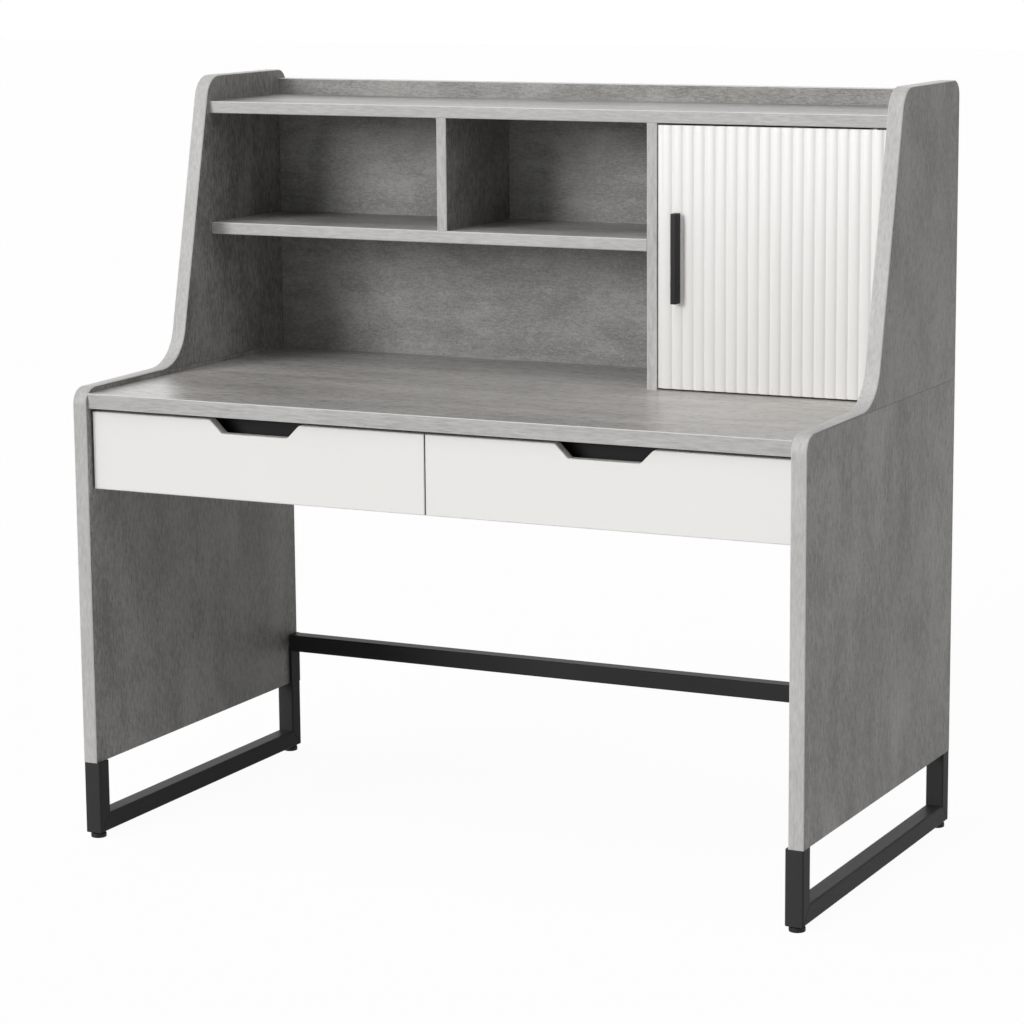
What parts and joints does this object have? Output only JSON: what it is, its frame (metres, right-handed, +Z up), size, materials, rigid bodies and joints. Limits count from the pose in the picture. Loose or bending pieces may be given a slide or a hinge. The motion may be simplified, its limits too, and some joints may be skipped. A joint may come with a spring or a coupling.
{
  "type": "student desk with hutch",
  "caption": "Writing desk on black steel leg frames, with wide drawers under the top and a raked hutch of open shelves beside a fluted cabinet door.",
  "frame": {"origin": "on the floor, under the middle of the desk's width and depth", "axes": "+X to the right along the desk, +Y from the sitter to the back, +Z up"},
  "size_m": [1.28, 0.67, 1.245],
  "materials": {
    "concrete_laminate": "matt melamine, grey cement pattern with a brushed grain",
    "white_lacquer": "satin white lacquer on fibreboard",
    "charcoal_board": "matt charcoal foil on board",
    "black_powder_coat": "fine satin black powder coat",
    "zinc_steel": "bright zinc plate",
    "black_plastic": "moulded matt black",
    "beech": "bare fluted dowel"
  },
  "bodies": {
    "desk": {"left_lower_side": "concrete_laminate", "right_lower_side": "concrete_laminate", "left_hutch_side": "concrete_laminate", "right_hutch_side": "concrete_laminate", "desktop": "concrete_laminate", "top_shelf": "concrete_laminate", "middle_shelf": "concrete_laminate", "short_divider": "concrete_laminate", "tall_divider": "concrete_laminate", "back_rail": "concrete_laminate", "hutch_back_panel": "concrete_laminate", "rear_apron": "concrete_laminate", "drawer_hanger": "charcoal_board", "left_front_post": "black_powder_coat", "left_rear_post": "black_powder_coat", "left_bottom_bar": "black_powder_coat", "left_crossbar_plate": "black_powder_coat", "right_front_post": "black_powder_coat", "right_rear_post": "black_powder_coat", "right_bottom_bar": "black_powder_coat", "right_crossbar_plate": "black_powder_coat", "crossbar": "black_powder_coat", "left_cabinet_slides": "zinc_steel", "right_cabinet_slides": "zinc_steel", "board_dowels": "beech", "cam_locks": "zinc_steel", "cam_bolts": "zinc_steel", "post_studs": "zinc_steel", "foot_inserts": "zinc_steel", "plate_pins": "zinc_steel", "door_pivot_bushes": "black_plastic", "magnetic_catch": "black_plastic"},
    "left_drawer": {"left_drawer_front": "white_lacquer", "left_drawer_pull_cup": "black_plastic", "left_drawer_outer_side": "charcoal_board", "left_drawer_inner_side": "charcoal_board", "left_drawer_back": "charcoal_board", "left_drawer_bottom": "charcoal_board", "left_drawer_slides": "zinc_steel", "left_drawer_dowels": "beech"},
    "right_drawer": {"right_drawer_front": "white_lacquer", "right_drawer_pull_cup": "black_plastic", "right_drawer_outer_side": "charcoal_board", "right_drawer_inner_side": "charcoal_board", "right_drawer_back": "charcoal_board", "right_drawer_bottom": "charcoal_board", "right_drawer_slides": "zinc_steel", "right_drawer_dowels": "beech"},
    "left_middle_slide": {"left_middle_slides": "zinc_steel"},
    "right_middle_slide": {"right_middle_slides": "zinc_steel"},
    "door": {"fluted_door": "white_lacquer", "door_handle": "black_powder_coat", "handle_screws": "zinc_steel", "door_pivot_pins": "zinc_steel", "catch_strike": "zinc_steel"},
    "front_left_foot": {"front_left_foot": "black_plastic"},
    "front_right_foot": {"front_right_foot": "black_plastic"},
    "rear_left_foot": {"rear_left_foot": "black_plastic"},
    "rear_right_foot": {"rear_right_foot": "black_plastic"}
  },
  "joints": [
    {"name": "left_drawer_slide", "type": "slide", "parent": "desk", "child": "left_drawer", "axis": [0, -1, 0], "range_m": [0, 0.38]},
    {"name": "left_middle_slide_run", "type": "slide", "parent": "desk", "child": "left_middle_slide", "axis": [0, -1, 0], "range_m": [0, 0.2]},
    {"name": "right_drawer_slide", "type": "slide", "parent": "desk", "child": "right_drawer", "axis": [0, -1, 0], "range_m": [0, 0.38]},
    {"name": "right_middle_slide_run", "type": "slide", "parent": "desk", "child": "right_middle_slide", "axis": [0, -1, 0], "range_m": [0, 0.2]},
    {"name": "door_hinge", "type": "hinge", "parent": "desk", "child": "door", "pos_m": [0.59, 0.081, 0.75], "axis": [0, 0, 1], "range_deg": [0, 90]},
    {"name": "front_left_foot_screw", "type": "slide", "parent": "desk", "child": "front_left_foot", "axis": [0, 0, 1], "range_m": [-0.01, 0]},
    {"name": "front_right_foot_screw", "type": "slide", "parent": "desk", "child": "front_right_foot", "axis": [0, 0, 1], "range_m": [-0.01, 0]},
    {"name": "rear_left_foot_screw", "type": "slide", "parent": "desk", "child": "rear_left_foot", "axis": [0, 0, 1], "range_m": [-0.01, 0]},
    {"name": "rear_right_foot_screw", "type": "slide", "parent": "desk", "child": "rear_right_foot", "axis": [0, 0, 1], "range_m": [-0.01, 0]}
  ],
  "couplings": [
    {"joint": "left_middle_slide_run", "follows": "left_drawer_slide", "ratio": 0.5},
    {"joint": "right_middle_slide_run", "follows": "right_drawer_slide", "ratio": 0.5}
  ]
}
